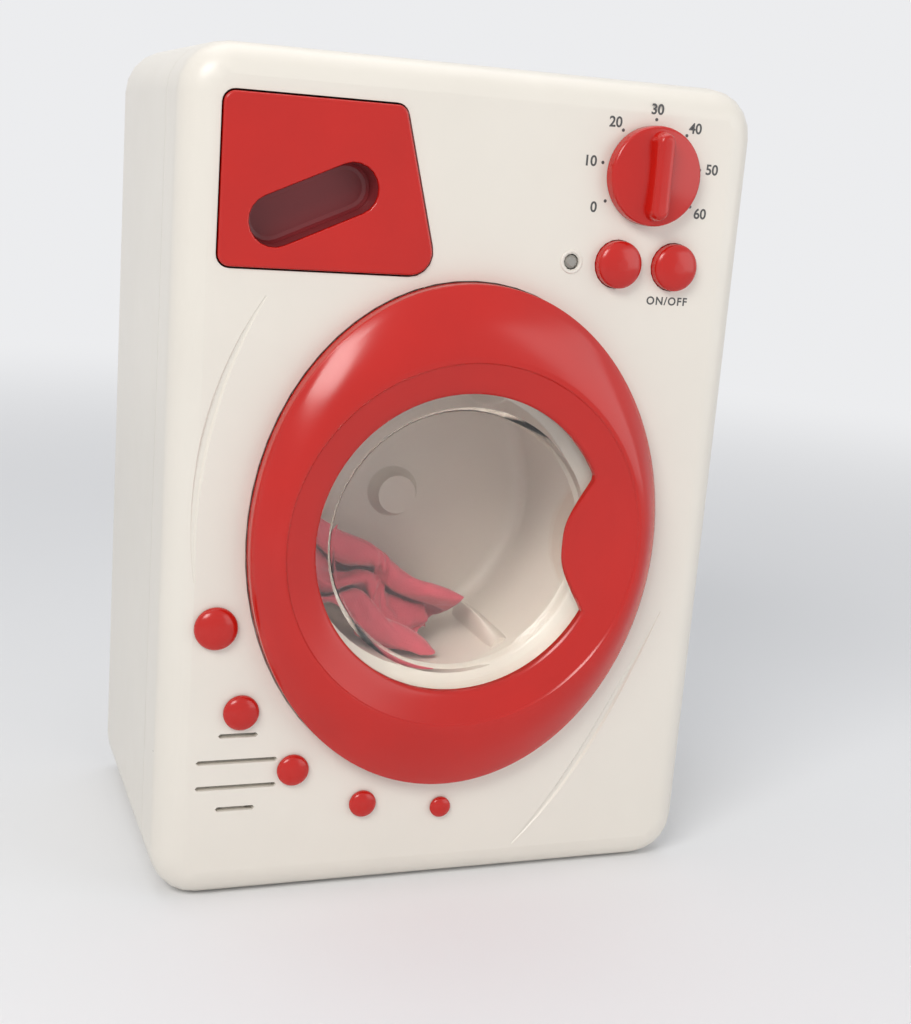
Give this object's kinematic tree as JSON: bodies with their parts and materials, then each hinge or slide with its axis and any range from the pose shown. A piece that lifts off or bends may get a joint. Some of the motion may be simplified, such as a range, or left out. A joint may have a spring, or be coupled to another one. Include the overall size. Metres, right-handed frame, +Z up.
{
  "type": "toy washing machine",
  "caption": "Toy front-loading washing machine with an opening oval door, a turning drum, a pull-out soap drawer, a dial and push buttons.",
  "frame": {"origin": "centre of the bounding box's base, on the surface that the toy stands on", "axes": "+Z up, +X to the right as seen from the front, the door and controls face -Y"},
  "size_m": [0.161, 0.111, 0.23],
  "materials": {
    "cabinet_plastic": "moulded cream-white ABS with a soft gloss",
    "red_plastic": "moulded red ABS, polished",
    "clear_plastic": "clear polystyrene, polished",
    "drum_plastic": "moulded warm grey plastic",
    "gear_plastic": "natural white nylon",
    "dark_plastic": "black plastic",
    "circuit_board": "green solder resist",
    "lamp_lens": "frosted lamp lens",
    "cell_wrap": "plain printed cell wrap",
    "laundry_cloth": "thin crumpled red cloth",
    "steel": "zinc-plated steel",
    "brass": "plain brass"
  },
  "bodies": {
    "cabinet": {"front_panel": "cabinet_plastic", "rear_housing": "cabinet_plastic", "housing_screw_1": "steel", "housing_screw_2": "steel", "housing_screw_3": "steel", "housing_screw_4": "steel", "housing_screw_5": "steel", "housing_screw_6": "steel", "hinge_pin": "steel", "gear_plate": "gear_plastic", "plate_screw_1": "steel", "plate_screw_2": "steel", "plate_screw_3": "steel", "plate_screw_4": "steel", "drum_bush": "brass", "idler_pin": "steel", "motor": "steel", "drawer_guide": "gear_plastic", "circuit_board": "circuit_board", "push_switch_1": "dark_plastic", "push_switch_2": "dark_plastic", "indicator_lamp": "lamp_lens", "board_screw_1": "steel", "board_screw_2": "steel", "speaker": "dark_plastic", "accent_stud_1": "red_plastic", "accent_stud_2": "red_plastic", "accent_stud_3": "red_plastic", "accent_stud_4": "red_plastic", "accent_stud_5": "red_plastic", "battery_1": "cell_wrap", "battery_2": "cell_wrap", "battery_3": "cell_wrap", "lower_contacts": "steel", "upper_contacts": "steel", "battery_cover": "cabinet_plastic", "battery_cover_screw": "steel"},
    "door": {"door_ring": "red_plastic", "door_window": "clear_plastic", "window_screw_1": "steel", "window_screw_2": "steel", "window_screw_3": "steel", "window_screw_4": "steel"},
    "tub": {"drum": "drum_plastic", "drum_shaft": "steel", "drum_gear": "gear_plastic", "shaft_clip": "steel", "laundry": "laundry_cloth"},
    "idler": {"idler_gear": "gear_plastic"},
    "pinion": {"motor_pinion": "brass"},
    "drawer": {"drawer_front": "red_plastic", "drawer_tray": "cabinet_plastic"},
    "knob": {"dial_knob": "red_plastic", "knob_washer": "gear_plastic", "knob_screw": "steel"},
    "left_key": {"left_button": "red_plastic"},
    "right_key": {"right_button": "red_plastic"}
  },
  "joints": [
    {"name": "door_hinge", "type": "hinge", "parent": "cabinet", "child": "door", "pos_m": [-0.054, -0.0479, 0.103], "axis": [0, 0, -1], "range_deg": [0, 95]},
    {"name": "drum_spin", "type": "hinge", "parent": "cabinet", "child": "tub", "pos_m": [0, 0, 0.103], "axis": [0, 1, 0], "continuous": true},
    {"name": "idler_spin", "type": "hinge", "parent": "cabinet", "child": "idler", "pos_m": [0.01938, 0, 0.1261], "axis": [0, 1, 0], "continuous": true},
    {"name": "pinion_spin", "type": "hinge", "parent": "cabinet", "child": "pinion", "pos_m": [0.01938, 0, 0.14515], "axis": [0, 1, 0], "continuous": true},
    {"name": "drawer_slide", "type": "slide", "parent": "cabinet", "child": "drawer", "axis": [0, -1, 0], "range_m": [0, 0.032]},
    {"name": "knob_turn", "type": "hinge", "parent": "cabinet", "child": "knob", "pos_m": [0.0483, -0.0445, 0.2051], "axis": [0, -1, 0], "range_deg": [-120, 120]},
    {"name": "left_button_press", "type": "slide", "parent": "cabinet", "child": "left_key", "axis": [0, 1, 0], "range_m": [0, 0.0015], "stiffness_N_per_m": 300},
    {"name": "right_button_press", "type": "slide", "parent": "cabinet", "child": "right_key", "axis": [0, 1, 0], "range_m": [0, 0.0015], "stiffness_N_per_m": 300}
  ],
  "couplings": [
    {"joint": "idler_spin", "follows": "drum_spin", "ratio": -4},
    {"joint": "pinion_spin", "follows": "drum_spin", "ratio": 12.8}
  ]
}
